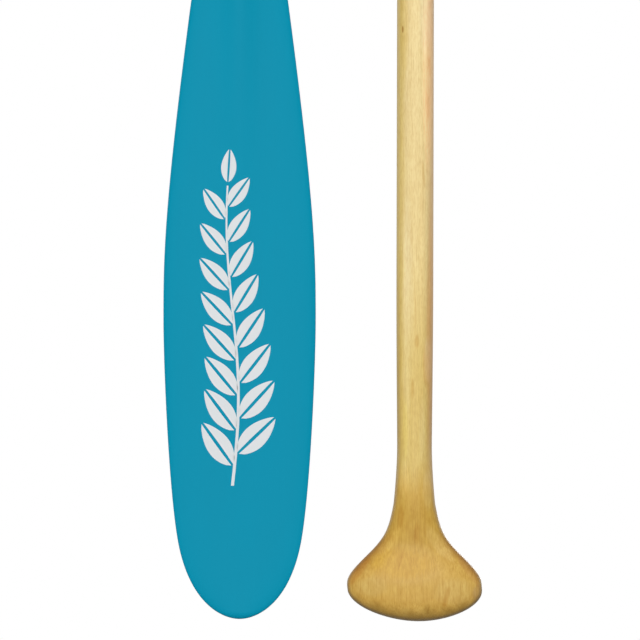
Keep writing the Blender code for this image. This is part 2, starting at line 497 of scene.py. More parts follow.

# %% [markdown]
# Round the crown the distance is taken half from the outline, so that the brown, which is painted
# shade, follows the round edge. On the grip's fan the tones lie in shallow arcs. Growth rings are
# tilted sheets that run through a plank, so on a face they show as broad bands, darker on the side
# of the late wood. Each plank comes from its own board and has rings of its own tilt and spacing.

# %% Tone and growth rings
Plank = namedtuple("Plank", "low high ring_tilt ring_step ring_place")
LATE_WOOD = (0.70, 0.58, 0.42)
RING_CREEP = 0.004  # how far a ring moves across the plank for each metre along it
RING_DRIFT = 3.0
DRIFT_PATCH = (0.030, 0.16)
EARLY_WOOD_ENDS, LATE_WOOD_ENDS = 0.1, 0.85
ARC_SLOPE = 0.25
ARC_BEGINS = (0.035, 0.060)
CROWN_ARC_ENDS = (0.022, 0.034)
TONE_WANDER = 0.022


def wood_tone(bench, xyz, below, rim, wander):
    """The tone at each place, by its distance under the crown."""
    arc = xyz[0].math("ABSOLUTE") * below.step(*ARC_BEGINS) * ARC_SLOPE
    rounded = below + (rim - below) * (1 - below.step(*CROWN_ARC_ENDS)) * 0.5
    depth = rounded - arc + (wander - 0.5) * TONE_WANDER
    stops = [(below_crown / TONE_REACH, tone) for below_crown, tone in TONES_BELOW_CROWN]
    return bench.node("ShaderNodeValToRGB", {"stops": stops}, [depth / TONE_REACH])


def late_wood_share(bench, plank, xyz):
    """0 in the early wood, with a slow rise to 1 at the end of each ring."""
    x, y, z = xyz
    tilt = math.radians(plank.ring_tilt)
    sheet = x * math.sin(tilt) + y * math.cos(tilt) + z * RING_CREEP
    drift = grain_noise(bench, xyz, *DRIFT_PATCH, detail=1.0, offset=plank.ring_place)
    ring = (sheet / plank.ring_step + drift * RING_DRIFT + plank.ring_place).math("FRACT")
    return ring.step(EARLY_WOOD_ENDS, LATE_WOOD_ENDS) * (1 - ring.step(LATE_WOOD_ENDS, 1.0))


print("tone and rings ready")

# %% [markdown]
# ## Grain
#
# The grain has five layers: soft stripes a few millimetres wide, fine fibres, mottle, short flecks
# and pores. They differ only in their sizes across and along the grain, in how sharply they set
# in, and in how strongly they tint. So they stand in one table, and one function lays them all.
# Fibres and mottle show more on the grip, where hands have worked dirt and oil into them.

# %% Layers of grain
Layer = namedtuple("Layer", "across along detail offset start end share more_on_grip tint")
GRAIN = {
    "stripe": Layer(0.0040, 0.3000, 1.0, 33.5, 0.40, 0.70, 0.22, 0.00, (0.86, 0.80, 0.72)),
    "fibre": Layer(0.0009, 0.0350, 3.0, 0.0, 0.38, 0.72, 0.30, 0.25, (0.78, 0.67, 0.54)),
    "mottle": Layer(0.0040, 0.0090, 3.0, 9.0, 0.35, 0.70, 0.20, 0.25, (0.84, 0.74, 0.60)),
    "fleck": Layer(0.0009, 0.0050, 1.0, 13.0, 0.35, 0.70, 0.34, 0.00, (0.80, 0.70, 0.58)),
    "pore": Layer(0.0006, 0.0100, 0.0, 3.0, 0.68, 0.76, 0.16, 0.00, (0.62, 0.48, 0.34)),
}
HANDLED_ENDS = (0.080, 0.120)


def grained(bench, colour, xyz, below):
    """Lays the grain over the colour, and also gives the noise of each layer by its name."""
    handled = 1 - below.step(*HANDLED_ENDS)
    noises = {}
    for name, layer in GRAIN.items():
        noise = grain_noise(bench, xyz, layer.across, layer.along, layer.detail, layer.offset)
        share = noise.step(layer.start, layer.end) * (handled * layer.more_on_grip + layer.share)
        colour = tinted(bench, share, colour, layer.tint)
        noises[name] = noise
    return colour, noises


print(len(GRAIN), "layers of grain")

# %% [markdown]
# ## Figure
#
# Noise alone makes wood that is the same everywhere. A real shaft has a few things to see: a pin
# knot, streaks of pale, milky, hay yellow, peach or ruddy wood, dark veins and darker spots. The
# grip has a saffron glow, bleached patches, a corner darkened with painted shade, flanks that are
# flushed partly in their colour and partly with painted shade, and darker spots in its throat. A
# few lighter patches on the shaft and grip are painted light. Each is a soft ellipse along the
# grain that tints what is under it.

# %% Marks in the wood
FAINT = (1.055, 1.05, 1.055)
PALE = (1.03, 1.06, 1.18)
# Painted light: patches made lighter, as if more light fell there.
PAINTED_LIGHT_PATCH = (1.10, 1.13, 1.22)
MILKY = (1.09, 1.16, 1.50)
PEACH = (1.19, 1.11, 1.14)
BLEACHED = (1.02, 1.08, 1.30)
LEMON = (1.04, 1.05, 0.92)
HAY = (0.97, 0.94, 0.82)
SAFFRON = (0.99, 0.94, 0.60)
BLUSH = (0.985, 0.93, 0.90)
# Partly the flank's own colour, partly painted shade on the rolled flank.
FLANK_FLUSH_AND_SHADE = (0.955, 0.90, 0.97)
RUDDY = (0.97, 0.87, 0.81)
DARK_SPOT = (0.90, 0.82, 0.72)
VEIN = (0.90, 0.83, 0.74)
# Painted shade on the grip's far corner.
CORNER_SHADE = (0.85, 0.84, 1.10)
KNOT = (0.66, 0.52, 0.38)

Mark = namedtuple("Mark", "x below lean half_width half_length tint")
FIGURE = [
    Mark(0.0106, 0.497, 0.00, 0.0009, 0.0032, KNOT),
    Mark(-0.0085, 0.510, 0.00, 0.0060, 0.0350, PALE),
    Mark(0.0098, 0.495, 0.00, 0.0044, 0.0420, HAY),
    Mark(-0.0108, 0.470, 0.00, 0.0046, 0.1000, PEACH),
    Mark(-0.0117, 0.467, 0.04, 0.0014, 0.0110, BLUSH),
    Mark(-0.0100, 0.434, 0.08, 0.0020, 0.0150, BLUSH),
    Mark(-0.0070, 0.376, 0.06, 0.0009, 0.0130, VEIN),
    Mark(-0.0066, 0.345, 0.00, 0.0030, 0.1900, FAINT),
    Mark(0.0112, 0.275, 0.00, 0.0036, 0.1800, FAINT),
    Mark(-0.0003, 0.266, 0.02, 0.0005, 0.0280, VEIN),
    Mark(0.0062, 0.260, 0.00, 0.0052, 0.1000, PALE),
    Mark(-0.0135, 0.240, 0.00, 0.0040, 0.1000, RUDDY),
    Mark(-0.0018, 0.235, 0.00, 0.0021, 0.0065, DARK_SPOT),
    Mark(-0.0115, 0.220, 0.00, 0.0040, 0.0200, MILKY),
    Mark(0.0080, 0.215, 0.00, 0.0044, 0.1150, PAINTED_LIGHT_PATCH),
    Mark(-0.0088, 0.214, 0.02, 0.0020, 0.0200, RUDDY),
    Mark(0.0018, 0.195, 0.00, 0.0014, 0.0100, DARK_SPOT),
    Mark(0.0078, 0.161, 0.00, 0.0028, 0.0280, LEMON),
    Mark(-0.0062, 0.161, 0.00, 0.0026, 0.0280, PALE),
    Mark(0.0085, 0.119, 0.00, 0.0045, 0.0150, PAINTED_LIGHT_PATCH),
    Mark(-0.0115, 0.110, 0.00, 0.0050, 0.0180, MILKY),
    Mark(0.0115, 0.088, 0.00, 0.0030, 0.0100, DARK_SPOT),
    Mark(-0.0018, 0.074, 0.00, 0.0026, 0.0100, DARK_SPOT),
    Mark(0.0205, 0.067, -0.70, 0.0060, 0.0140, PAINTED_LIGHT_PATCH),
    Mark(-0.0200, 0.066, 0.70, 0.0076, 0.0160, MILKY),
    Mark(0.0105, 0.054, -0.26, 0.0008, 0.0120, VEIN),
    Mark(0.0100, 0.048, 0.00, 0.0290, 0.0140, SAFFRON),
    # The two flank tints are partly the wood's colour, partly painted shade.
    Mark(0.0455, 0.044, -0.67, 0.0045, 0.0180, RUDDY),
    Mark(-0.0440, 0.046, 0.67, 0.0050, 0.0200, FLANK_FLUSH_AND_SHADE),
    Mark(0.0355, 0.029, 0.00, 0.0140, 0.0090, BLEACHED),
    Mark(-0.0270, 0.020, -0.20, 0.0026, 0.0100, DARK_SPOT),
    Mark(0.0030, 0.009, 0.00, 0.0120, 0.0060, PAINTED_LIGHT_PATCH),
    Mark(-0.0340, 0.025, 0.00, 0.0180, 0.0120, BLEACHED),
    # Painted shade on the corner of the fan.
    Mark(-0.0535, 0.022, 0.00, 0.0050, 0.0100, CORNER_SHADE),
]
MARK_FADE = (0.2, 1.3)
MARK_WOBBLE = 0.9
WOBBLE_PATCH = (0.0012, 0.010)


def marked(bench, colour, plank, xyz, below):
    """Tints the colour where one of the marks lies in this plank."""
    wobble = grain_noise(bench, xyz, *WOBBLE_PATCH, offset=5.0)
    for mark in FIGURE:
        if not plank.low - mark.half_width < mark.x < plank.high + mark.half_width:
            continue
        along = below - mark.below
        across = xyz[0] - mark.x - along * mark.lean
        spread = (across / mark.half_width) ** 2 + (along / mark.half_length) ** 2
        share = 1 - (spread + (wobble - 0.5) * MARK_WOBBLE).step(*MARK_FADE)
        colour = tinted(bench, share, colour, mark.tint)
    return colour


print(len(FIGURE), "marks in the wood")

# %% [markdown]
# ## Two sides and a rim
#
# The shaft is golden on one side and has a rosy cast on the other, and its middle is the palest.
# Colours for each stave would meet in hard lines at the glue, which varnished wood of one kind
# doesn't show. So both casts grow softly with the distance from the axis.
#
# The rim is where the edge is sanded round and turns away from the light. On the flanks of the grip
# it is orange, wider on the golden side: partly wood that soaks up more varnish, partly painted
# shade. A thin umber line along the edge, strongest at the crown, is painted shade. Every point of
# a plank carries its distance from the outline for this.

# %% Casts and rim
GOLDEN = (0.91, 0.86, 0.58)
ROSY = (0.95, 0.83, 0.84)
# Partly the rim's own colour, partly painted shade on the flanks.
RIM_ORANGE_AND_SHADE = (0.64, 0.50, 0.40)
# Painted shade along the rounded edge, where it turns from the light.
RIM_SHADE_UMBER = (0.20, 0.145, 0.075)

CASTS_BEGIN = (0.095, 0.150)
GOLDEN_FROM_AXIS = (0.0065, 0.0135)
ROSY_FROM_AXIS = (0.0078, 0.0148)
CAST_WANDER = 0.006

FLANK_BEGINS = (0.028, 0.044)
FLANK_ENDS = (0.062, 0.082)
RIM_WAVER = 0.004
WAVER_PATCH = (0.006, 0.030)
ORANGE_FROM = 0.0005
ORANGE_REACH = 0.0072
ORANGE_MORE = 0.0030
ORANGE_WIDENS = (-0.020, 0.020)
ORANGE_SHARE = 0.85
UMBER_REACH = 0.0034
UMBER_SHARE = 0.12
UMBER_MORE = [((0.11, 0.30), 0.22), ((0.024, 0.044), 0.30)]  # towards the grip, at the crown


def sided(x, wander, start, end):
    """0 before start and 1 after end, for places measured out from the paddle's axis."""
    return (x + (wander - 0.5) * CAST_WANDER).step(start, end)


def with_casts(bench, colour, x, below, wander):
    on_shaft = below.step(*CASTS_BEGIN)
    colour = tinted(bench, on_shaft * sided(x, wander, *GOLDEN_FROM_AXIS), colour, GOLDEN)
    return tinted(bench, on_shaft * sided(-x, wander, *ROSY_FROM_AXIS), colour, ROSY)


def with_rim(bench, colour, xyz, below, rim):
    on_flank = below.step(*FLANK_BEGINS) * (1 - below.step(*FLANK_ENDS))
    uneven = rim + (grain_noise(bench, xyz, *WAVER_PATCH, offset=11.0) - 0.5) * RIM_WAVER
    reach_here = xyz[0].step(*ORANGE_WIDENS) * ORANGE_MORE + ORANGE_REACH
    # The orange band is partly real colour, partly painted shade.
    orange = (1 - uneven.step(ORANGE_FROM, reach_here)) * on_flank
    colour = tinted(bench, orange * ORANGE_SHARE, colour, RIM_ORANGE_AND_SHADE)
    # The umber line is painted shade, strongest at the crown.
    umber_shade = UMBER_SHARE
    for ends, more in UMBER_MORE:
        umber_shade = umber_shade + (1 - below.step(*ends)) * more
    return mixed(bench, (1 - rim.step(0.0, UMBER_REACH)) * umber_shade, colour, RIM_SHADE_UMBER)


print("casts and rim ready")

# %% [markdown]
# ## The whole finish
#
# The layers go on in turn. Fibres, rings and pores also give the wood a slight relief. The varnish
# is a weak coat, as it is satin and worn, and it thins out at the rim.

# %% Varnished wood
WANDER_PATCH = (0.009, 0.040)
LATE_WOOD_SHARE = 0.10
FIBRE_HEIGHT, LATE_WOOD_HEIGHT, PORE_HEIGHT = 0.6, -0.3, -0.4
WOOD_RELIEF = 0.25
SATIN = 0.42
COAT_SHARE = 0.12
COAT_BEGINS = (0.0003, 0.0030)


def wood_shader(bench, plank):
    xyz = object_place(bench)
    rim = bench.node("ShaderNodeAttribute", {"attribute_name": "rim_distance"}, give="Fac")
    below = CROWN_Z - xyz[2]
    wander = grain_noise(bench, xyz, *WANDER_PATCH, offset=2.0)

    colour = wood_tone(bench, xyz, below, rim, wander)
    late_wood = late_wood_share(bench, plank, xyz)
    colour = tinted(bench, late_wood * LATE_WOOD_SHARE, colour, LATE_WOOD)
    colour, noises = grained(bench, colour, xyz, below)
    colour = marked(bench, colour, plank, xyz, below)
    colour = with_casts(bench, colour, xyz[0], below, wander)
    colour = with_rim(bench, colour, xyz, below, rim)

    fibre = noises["fibre"]
    pore = noises["pore"].step(GRAIN["pore"].start, GRAIN["pore"].end)
    height = fibre * FIBRE_HEIGHT + late_wood * LATE_WOOD_HEIGHT + pore * PORE_HEIGHT
    return bench.node("ShaderNodeBsdfPrincipled", None, {
        "Base Color": colour,
        "Roughness": SATIN + (fibre - 0.5) * 0.10,
        "Specular IOR Level": 0.08,
        "Coat Weight": rim.step(*COAT_BEGINS) * COAT_SHARE,
        "Coat Roughness": 0.24,
        "Normal": relief(bench, WOOD_RELIEF, height),
    })


def varnished(name, plank):
    material, bench = new_finish(name)
    close_finish(bench, wood_shader(bench, plank))
    return material


print("wood recipe ready")

# %% [markdown]
# ## Blade paint
#
# The blade has a flat coat of teal paint, from the tip to a masked line just above the throat.
# It could be one colour, but rolled satin paint has a faint orange-peel skin and long soft
# differences in sheen, and the glue lines under it show as lines a hair deep. The red part of the
# colour is close to nothing, and even a little white gloss would wash it out, so the specular
# level is low.

# %% Paint for the blade
TEAL = (0.0012, 0.312, 0.477)
PAINT_LINE_Z = THROAT_Z + 0.012
CLOUD_PATCH = (0.030, 0.090)
BRUSH_PATCH = (0.0012, 0.060)
PEEL_PATCH = (0.0016, 0.0016)
DARKEST_SHADE = 0.95
CLOUD_SHADE, BRUSH_SHADE, PEEL_SHADE = 0.05, 0.03, 0.02
PAINT_RELIEF = 0.3
SEAM_EDGE = (0.0001, 0.0006)


def paint_shader(bench, colour, seams=()):
    xyz = object_place(bench)
    cloud = grain_noise(bench, xyz, *CLOUD_PATCH)
    brush = grain_noise(bench, xyz, *BRUSH_PATCH)
    peel = grain_noise(bench, xyz, *PEEL_PATCH, detail=1.0)
    shade = cloud * CLOUD_SHADE + brush * BRUSH_SHADE + peel * PEEL_SHADE + DARKEST_SHADE
    shaded = bench.node("ShaderNodeHueSaturation", None, {"Value": shade, "Color": colour})

    height = peel * 0.5 + brush * 0.5
    for seam in seams:
        offset = (xyz[0].math("ABSOLUTE") - seam).math("ABSOLUTE")
        height = height - (1 - offset.step(*SEAM_EDGE)) * 0.5
    return bench.node("ShaderNodeBsdfPrincipled", None, {
        "Base Color": shaded,
        "Roughness": SATIN + cloud * 0.12,
        "Specular IOR Level": 0.06,
        "Normal": relief(bench, PAINT_RELIEF, height),
    })


def painted(name, colour, seams=()):
    material, bench = new_finish(name)
    close_finish(bench, paint_shader(bench, colour, seams))
    return material


BLADE_SEAMS = (CORE_HALF, STOCK_HALF, BOARD_SEAM)
teal_paint = painted("teal_blade_paint", TEAL, BLADE_SEAMS)
print("paint ends", round(1000 * (PAINT_LINE_Z - TIP_Z)), "mm above the tip")

# %% [markdown]
# ## Staves: paint below, varnish above
#
# The three long staves run through the blade and the shaft, so one plank has both finishes. Two
# objects would break a real plank in two. A Mix Shader keeps it whole: its factor goes from paint
# to varnish at the masked line, over half a millimetre, with the small wander of a taped edge.

# %% Half painted staves
TAPE_BLUR = 0.00025
TAPE_CREEP = 0.0006
CREEP_PATCH = (0.002, 0.002)


def half_painted(name, plank):
    material, bench = new_finish(name)
    xyz = object_place(bench)
    creep = grain_noise(bench, xyz, *CREEP_PATCH)
    above = (xyz[2] + (creep - 0.5) * TAPE_CREEP).step(
        PAINT_LINE_Z - TAPE_BLUR, PAINT_LINE_Z + TAPE_BLUR)
    paint = paint_shader(bench, TEAL, BLADE_SEAMS)
    close_finish(bench, blended(bench, above, paint, wood_shader(bench, plank)))
    return material


core_finish = half_painted("core_stave_wood", Plank(-CORE_HALF, CORE_HALF, 8, 0.0052, 0.3))
right_finish = half_painted("right_stave_wood", Plank(CORE_HALF, STOCK_HALF, 24, 0.0040, 4.1))
left_finish = half_painted("left_stave_wood", Plank(-STOCK_HALF, -CORE_HALF, -17, 0.0046, 8.7))
print("stave finishes:", core_finish.name, right_finish.name, left_finish.name)

# %% [markdown]
# ## A tree that shapes a plank
#
# All eleven planks obey one rule: take the faired cross-section at each station and keep what
# lies between two glue lines. Booleans cut the plain solids that way. For the fine surface a
# Geometry Nodes tree is better: it rolls a flat grid into a tube with one row of points at each
# station, and places every point by the formula, so the points follow the shape and neighbouring
# planks meet exactly.
#
# The guide is a line of loose points, one for each station, which carry the section's sizes. The
# grid's columns run over the front face and back over the rear face. Each point also stores how
# far it is from the paddle's outline, seen from the front, which the wood's rim is tinted by.

# %% The outline as a ring of edges


def placed(name, data):
    """A new object in the scene."""
    thing = bpy.data.objects.new(name, data)
    bpy.context.scene.collection.objects.link(thing)
    return thing


def new_guide(name, points, edges=()):
    """Loose points, or points joined by edges, as a new object."""
    mesh = bpy.data.meshes.new(name + "_guide")
    mesh.from_pydata(points, edges, [])
    return placed(name, mesh)


rising = [(reach(s, 1), 0.0, s.z) for s in STATIONS]
falling = [(-reach(s, -1), 0.0, s.z) for s in reversed(STATIONS[1:-1])]
rim_points = rising + falling
outline = new_guide("outline", rim_points,
                    [(i, (i + 1) % len(rim_points)) for i in range(len(rim_points))])
print(len(rim_points), "points round the outline")

# %% Tree for a shaped plank
SHAPING_ACROSS = 0.05
SHAPING_ALONG = 0.08
WELD = 1e-6
plank_tree = bpy.data.node_groups.new("shaped_plank", "GeometryNodeTree")


def open_tree(tree, inputs):
    """Adds the named inputs and a geometry output, and returns the bench and input wires."""
    tree.interface.new_socket("Geometry", in_out="OUTPUT", socket_type="NodeSocketGeometry")
    for name, kind in inputs:
        tree.interface.new_socket(name, in_out="INPUT", socket_type="NodeSocket" + kind)
    bench = Bench(tree)
    first = bench.node("NodeGroupInput").socket.node
    return bench, {socket.name: Wire(bench, socket) for socket in first.outputs if socket.name}


def made_real(bench, geometry):
    return bench.node("GeometryNodeRealizeInstances", None, {"Geometry": geometry})


def moved(bench, geometry, position):
    return bench.node("GeometryNodeSetPosition", None,
                      {"Geometry": geometry, "Position": position})


def welded(bench, geometry, distance):
    """Joins points that lie closer together than this."""
    return bench.node("GeometryNodeMergeByDistance", None,
                      {"Geometry": geometry, "Distance": distance})


def close_tree(bench, geometry, finish):
    """Ends a tree as the export needs it: real geometry with its material set."""
    done = bench.node("GeometryNodeSetMaterial", None,
                      {"Geometry": made_real(bench, geometry), "Material": finish})
    bench.node("NodeGroupOutput", None, {"Geometry": done})


def carried(bench, name):
    """A vector that the guide's points carry under this name."""
    return bench.node("GeometryNodeInputNamedAttribute", {"data_type": "FLOAT_VECTOR"},
                      {"Name": name}, "Attribute")


def fill_plank_tree():
    bench, given = open_tree(plank_tree, [
        ("Guide", "Geometry"), ("Low side", "Float"), ("High side", "Float"),
        ("Points across", "Int"), ("Spine width", "Float"), ("Hand shaping", "Float"),
        ("Seed", "Float"), ("Outline", "Object"), ("Finish", "Material"),
    ])
    rows = bench.node("GeometryNodeAttributeDomainSize", {"component": "MESH"},
                      {"Geometry": given["Guide"]}, "Point Count")
    across = given["Points across"]
    grid = bench.node("GeometryNodeMeshGrid", None,
                      {"Vertices X": across * 2 + 1, "Vertices Y": rows}, "Mesh")

    index = bench.node("GeometryNodeInputIndex")
    row = index.math("MODULO", rows)
    column = (index / rows).math("FLOOR").math("MODULO", across * 2)

    def at_station(value):
        return bench.parts(bench.node(
            "GeometryNodeSampleIndex", {"data_type": "FLOAT_VECTOR", "clamp": True},
            {"Geometry": given["Guide"], "Value": value, "Index": row}))

    _, _, z = at_station(bench.node("GeometryNodeInputPosition"))
    half_width, spine, face = at_station(carried(bench, "section"))
    fullness, rolled, shift = at_station(carried(bench, "form"))

    middle = across - 0.5
    along = (middle - (column - middle).math("ABSOLUTE")) / (across - 1)
    side = column.math("GREATER_THAN", middle) * 2 - 1
    start = ((given["Low side"] - shift) / half_width).limited(-1.0, 1.0).math("ARCCOSINE")
    end = ((given["High side"] - shift) / half_width).limited(-1.0, 1.0).math("ARCCOSINE")
    angle = start + (end - start) * along

    x = half_width * angle.math("COSINE")
    ridge = (-((x / (given["Spine width"] * 0.5)) ** 2)).math("EXPONENT")
    half_thickness = (face + (spine - face) * ridge) * rolled
    bulge = angle.math("SINE").math("MAXIMUM", 0.0) ** (2 / fullness)
    shaping = bench.node("ShaderNodeTexNoise", None, {
        "Vector": bench.vector(x / SHAPING_ACROSS, given["Seed"] + side * 3, z / SHAPING_ALONG),
        "Scale": 1.0, "Detail": 1.0})
    y = side * half_thickness * bulge * (1 + (shaping - 0.5) * given["Hand shaping"])

    shaped = moved(bench, grid, bench.vector(x + shift, y, z))
    ring = bench.node("GeometryNodeObjectInfo", None, {"Object": given["Outline"]}, "Geometry")
    rim = bench.node("GeometryNodeProximity", {"target_element": "EDGES"},
                     {"Geometry": ring, "Sample Position": bench.vector(x + shift, 0.0, z)},
                     "Distance")
    measured = bench.node("GeometryNodeStoreNamedAttribute", {"data_type": "FLOAT"},
                          {"Geometry": shaped, "Name": "rim_distance", "Value": rim})
    close_tree(bench, welded(bench, measured, WELD), given["Finish"])


fill_plank_tree()
print("shaped_plank has", len(plank_tree.nodes), "nodes")

# %% [markdown]
# ## Growing a plain mesh from a tree
#
# The export reads plain meshes. `grow` puts a tree on an object, fills its inputs, takes the
# evaluated result as a new mesh and removes the modifier again.

# %% Grow helper


def grow(thing, tree, inputs):
    maker = thing.modifiers.new(tree.name, "NODES")
    maker.node_group = tree
    sockets = {item.name: item.identifier for item in tree.interface.items_tree
               if item.in_out == "INPUT"}
    for name, value in inputs.items():
        maker[sockets[name]] = value
    evaluated = thing.evaluated_get(bpy.context.evaluated_depsgraph_get())
    mesh = bpy.data.meshes.new_from_object(evaluated)
    thing.modifiers.clear()
    guide = thing.data
    thing.data = mesh
    mesh.name = thing.name
    bpy.data.meshes.remove(guide)
    mesh.materials.clear()  # a grid brings an empty slot of its own
    mesh.materials.append(inputs["Finish"])
    return thing


def volume_of(mesh):
    shape = bmesh.new()
    shape.from_mesh(mesh)
    volume = shape.calc_volume(signed=True)
    shape.free()
    return volume


print("ready to grow meshes")

# %% [markdown]
# ## The eleven planks
#
# Each plank gets a guide with the stations that it reaches. At its two ends the section closes
# to a point, and there the guide's half width is made a hair short, so that rounding errors
# can't leave the tube open. The number after the two glue lines is how many points the plank has
# across one face.

# %% Guides and planks
HAIR = 0.9999
SLACK = 1e-6
HAND_SHAPING = 0.02
SHAPING_SEED = 5.0
BEYOND = 1.0
CREASE_ANGLE = math.radians(40)


def guide_stations(low, high, z_low, z_high):
    """Stations whose cross-section reaches in between two glue lines."""
    kept = [s for s in STATIONS if z_low - SLACK <= s.z <= z_high + SLACK
            and reach(s, 1) >= low - SLACK and -reach(s, -1) <= high + SLACK]
    for end in (0, -1):
        kept[end] = kept[end]._replace(half_width=kept[end].half_width * HAIR)
    return kept


def carry(mesh, name, rows):
    values = mesh.attributes.new(name, "FLOAT_VECTOR", "POINT")
    values.data.foreach_set("vector", [number for row in rows for number in row])


def shaped_plank(name, low, high, across, finish, z_low=TIP_Z, z_high=CROWN_Z):
    stations = guide_stations(low, high, z_low, z_high)
    thing = new_guide(name, [(0.0, 0.0, s.z) for s in stations])
    carry(thing.data, "section", [
        (s.half_width, fair_value(SPINE_THICKNESS, s.z) / 2, fair_value(FACE_THICKNESS, s.z) / 2)
        for s in stations])
    carry(thing.data, "form", [
        (fair_value(FULLNESS, s.z),
         end_roll(s.z - TIP_Z, TIP_EDGE_ROLL) * end_roll(CROWN_Z - s.z, CROWN_ROLL),
         crown_shift(s.z)) for s in stations])
    grow(thing, plank_tree, {
        "Low side": low, "High side": high, "Points across": across, "Spine width": SPINE_WIDTH,
        "Hand shaping": HAND_SHAPING, "Seed": SHAPING_SEED, "Outline": outline, "Finish": finish})
    if volume_of(thing.data) < 0:
        thing.data.flip_normals()
    thing.data.shade_smooth()
    thing.data.set_sharp_from_angle(angle=CREASE_ANGLE)
    print(f"{name}: {len(thing.data.polygons)} faces, {1e6 * volume_of(thing.data):.1f} cm3")
    return thing


core_stave = shaped_plank("core_stave", -CORE_HALF, CORE_HALF, 13, core_finish)
right_stave = shaped_plank("right_stave", CORE_HALF, STOCK_HALF, 11, right_finish)
left_stave = shaped_plank("left_stave", -STOCK_HALF, -CORE_HALF, 11, left_finish)

# %% [markdown]
# The blade's boards and the grip's blocks come in mirrored pairs. A board stands for one of the
# frame's nodes on the same side and in the same place, so both names come from one loop.

# %% Boards and blocks
STAND_INS = {
    core_stave: "shaft_core_stave",
    right_stave: "shaft_right_stave",
    left_stave: "shaft_left_stave",
}
BLOCK_PLANKS = {
    "inner_right": Plank(STOCK_HALF, BLOCK_SEAM, 12, 0.0042, 2.6),
    "outer_right": Plank(BLOCK_SEAM, BEYOND, -22, 0.0036, 5.3),
    "inner_left": Plank(-BLOCK_SEAM, -STOCK_HALF, -9, 0.0044, 6.9),
    "outer_left": Plank(-BEYOND, -BLOCK_SEAM, 19, 0.0038, 9.4),
}

for side_name, sign in (("right", 1), ("left", -1)):
    for place, from_x, board_to, block_to in (
            ("inner", STOCK_HALF, BOARD_SEAM, BLOCK_SEAM), ("outer", None, BEYOND, BEYOND)):
        spot = f"{place}_{side_name}"
        board_ends = sorted((sign * (from_x or BOARD_SEAM), sign * board_to))
        block_ends = sorted((sign * (from_x or BLOCK_SEAM), sign * block_to))
        board = shaped_plank(f"{spot}_board", *board_ends, 14, teal_paint, z_high=THROAT_Z)
        STAND_INS[board] = f"blade_board_{spot}"
        block_finish = varnished(f"{spot}_block_wood", BLOCK_PLANKS[spot])
        block = shaped_plank(f"{spot}_block", *block_ends, 16, block_finish, z_low=NECK_Z)
        STAND_INS[block] = f"grip_block_{spot}"

bpy.data.objects.remove(outline)
print(len(STAND_INS), "planks stand for", len(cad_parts), "nodes of the frame")

# %% [markdown]
# ## A sprig for the front of the blade
#
# Painted blades often carry a stencilled ornament. This one is a leafy sprig in off-white. A
# stencil is one sheet with holes, so its shapes can't touch: each leaf stands a little off the
# stem, and a slit along its midrib leaves it in two halves.
#
# Only one half leaf is drawn, on a small grid. Its width follows a sine along its length, raised
# to a power that fills out the belly, and the grid's end rows shrink to points. The same half is
# placed many times: a guide has one loose point for each, with a turn and a size, and a negative
# width mirrors it.

# %% Where the leaves grow
STEM_LOW_Z = TIP_Z + 0.112
STEM_HIGH_Z = TIP_Z + 0.364
STEM_X = -0.006
STEM_SWAY = 0.0050
STEM_TURNS = 0.85
LEAF_PAIRS = 8
FIRST_LEAF, LAST_LEAF = 0.06, 0.88
RIGHT_LEAF_LATER = 0.35
LEAF_LENGTH = 0.043
LEAF_SHORTER = 0.36
LEAF_BREADTH = 0.44
LEAF_ANGLE = math.radians(42)
LEAF_STEEPER = 0.20
STEM_BRIDGE = 0.0030
NEARBY = 0.001

HalfLeaf = namedtuple("HalfLeaf", "x z turn breadth length")


def stem_x(z):
    """The stem sways from side to side as it rises."""
    share = (z - STEM_LOW_Z) / (STEM_HIGH_Z - STEM_LOW_Z)
    return STEM_X + STEM_SWAY * math.sin(math.tau * STEM_TURNS * share)


def leaf_halves(share, side):
    """Both halves of the leaf at this share of the stem, on side -1 or 1, or 0 at its end."""
    z = STEM_LOW_Z + share * (STEM_HIGH_Z - STEM_LOW_Z)
    lean = math.atan((stem_x(z + NEARBY) - stem_x(z - NEARBY)) / (2 * NEARBY))
    turn = lean + side * LEAF_ANGLE * (1 - LEAF_STEEPER * share)
    length = LEAF_LENGTH * (1 - LEAF_SHORTER * share ** 1.5)
    foot_x = stem_x(z) + STEM_BRIDGE * math.sin(turn)
    foot_z = z + STEM_BRIDGE * math.cos(turn)
    for half in (-1, 1):
        yield HalfLeaf(foot_x, foot_z, turn, half * LEAF_BREADTH * length, length)


def sprig_leaves():
    pitch = (LAST_LEAF - FIRST_LEAF) / (LEAF_PAIRS - 1)
    for pair in range(LEAF_PAIRS):
        yield from leaf_halves(FIRST_LEAF + pair * pitch, -1)
        yield from leaf_halves(FIRST_LEAF + (pair + RIGHT_LEAF_LATER) * pitch, 1)
    yield from leaf_halves(1.0, 0)


half_leaves = list(sprig_leaves())
print(len(half_leaves), "half leaves")

# %% [markdown]
# The stem is a second grid, two points wide, that is bent along the same sway. Leaves and stem are
# flat so far. A ray from the front finds the blade's skin behind every point, and the point moves
# there. The skin isn't flat, and no formula for it is needed this way. Last, the sheet becomes
# a film of paint: its outer face stands a tenth of a millimetre above the skin, its back lies just
# below it, and the film is closed all round.

# %% Tree for the sprig
LEAF_GRID = (5, 17)
STEM_GRID = (2, 60)
MIDRIB_SLIT = 0.05
BELLY_PLACE = 0.85
BELLY_FULLNESS = 0.8
LEAF_ARCH = 0.10
STEM_THICK, STEM_THIN = 0.0026, 0.0014
RAY_START = -0.1
RAY_LENGTH = 0.2
FILM_SUNK = 0.00004
FILM_THICKNESS = 0.00014
FILM_WELD = 2e-6
sprig_tree = bpy.data.node_groups.new("stencilled_sprig", "GeometryNodeTree")


